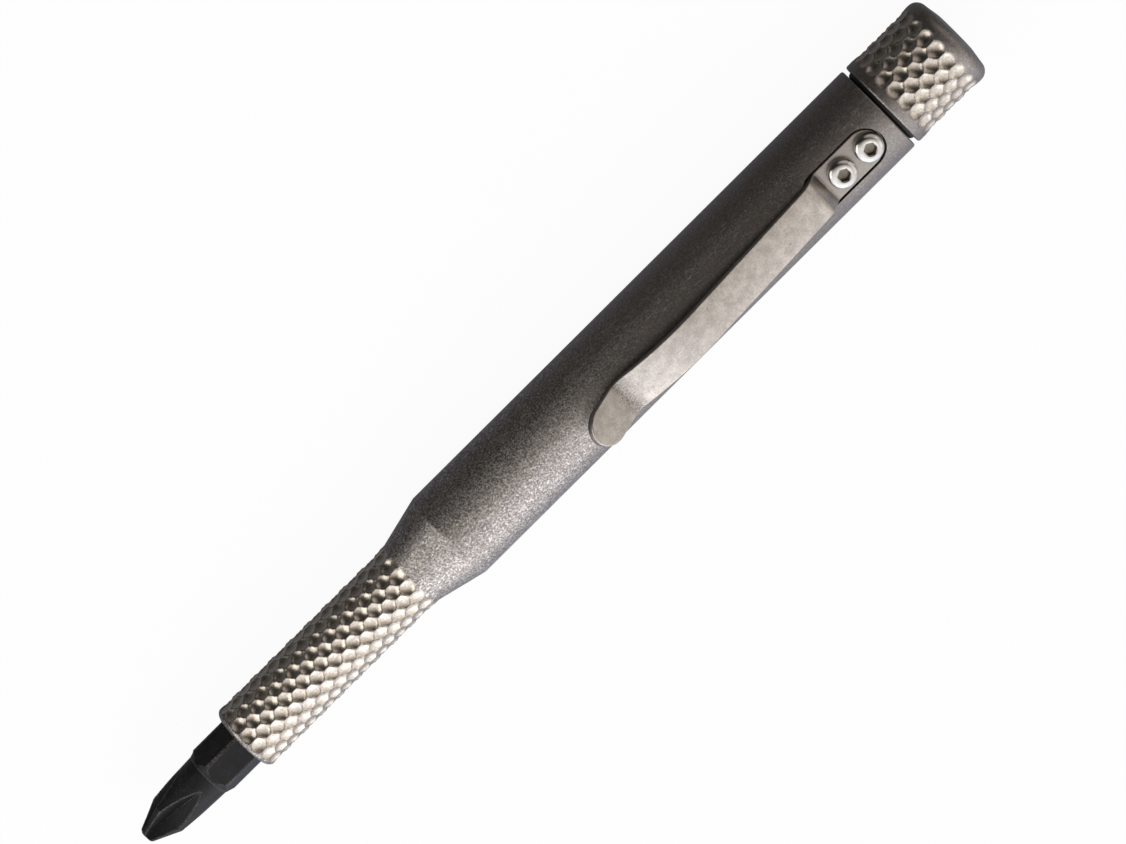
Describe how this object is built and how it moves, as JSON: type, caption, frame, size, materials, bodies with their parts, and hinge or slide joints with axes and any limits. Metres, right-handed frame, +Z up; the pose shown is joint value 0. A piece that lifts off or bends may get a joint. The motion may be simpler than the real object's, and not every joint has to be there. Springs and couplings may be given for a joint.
{
  "type": "pocket screwdriver",
  "caption": "Pen-shaped metal pocket screwdriver with a dimpled nose and screw cap, a spring clip, a hex bit socket and bit storage in the barrel.",
  "frame": {"origin": "under the middle of the tool, on the surface that it lies on", "axes": "+X along the tool towards the bit, +Z up through the clip, +Y across"},
  "size_m": [0.1406, 0.0126, 0.0182],
  "materials": {
    "blasted_titanium": "bead-blasted titanium, dark warm grey, with brighter machined dimples",
    "clip_titanium": "tumbled titanium, warm light grey",
    "screw_steel": "polished stainless steel",
    "black_bit_steel": "black oxide tool steel",
    "plated_magnet": "nickel plating",
    "seal_rubber": "matt black rubber",
    "pad_silicone": "matt red silicone"
  },
  "bodies": {
    "handle": {"body": "blasted_titanium", "neck_o_ring": "seal_rubber", "clip_screw_front": "screw_steel", "clip_screw_rear": "screw_steel", "socket_magnet": "plated_magnet", "spare_bit_slotted": "black_bit_steel", "spare_bit_hex": "black_bit_steel", "spare_bit_star": "black_bit_steel"},
    "bit": {"driver_bit": "black_bit_steel"},
    "clip": {"pocket_clip": "clip_titanium"},
    "cap_pad": {"rattle_pad": "pad_silicone"},
    "cap": {"end_cap": "blasted_titanium"}
  },
  "joints": [
    {"name": "bit_pull", "type": "slide", "parent": "handle", "child": "bit", "axis": [1, 0, 0], "range_m": [0, 0.012]},
    {"name": "clip_flex", "type": "hinge", "parent": "handle", "child": "clip", "pos_m": [-0.0451, 0, 0.0115], "axis": [0, -1, 0], "range_deg": [0, 3], "stiffness_Nm_per_rad": 9.6, "deforming": ["pocket_clip"]},
    {"name": "cap_lift", "type": "slide", "parent": "handle", "child": "cap_pad", "axis": [-1, 0, 0], "range_m": [0, 0.007]},
    {"name": "cap_turn", "type": "hinge", "parent": "cap_pad", "child": "cap", "pos_m": [-0.0638, 0, 0.00635], "axis": [-1, 0, 0], "range_deg": [0, 2520]}
  ],
  "couplings": [
    {"joint": "cap_lift", "follows": "cap_turn", "m_per_rad": 0.00015915}
  ]
}
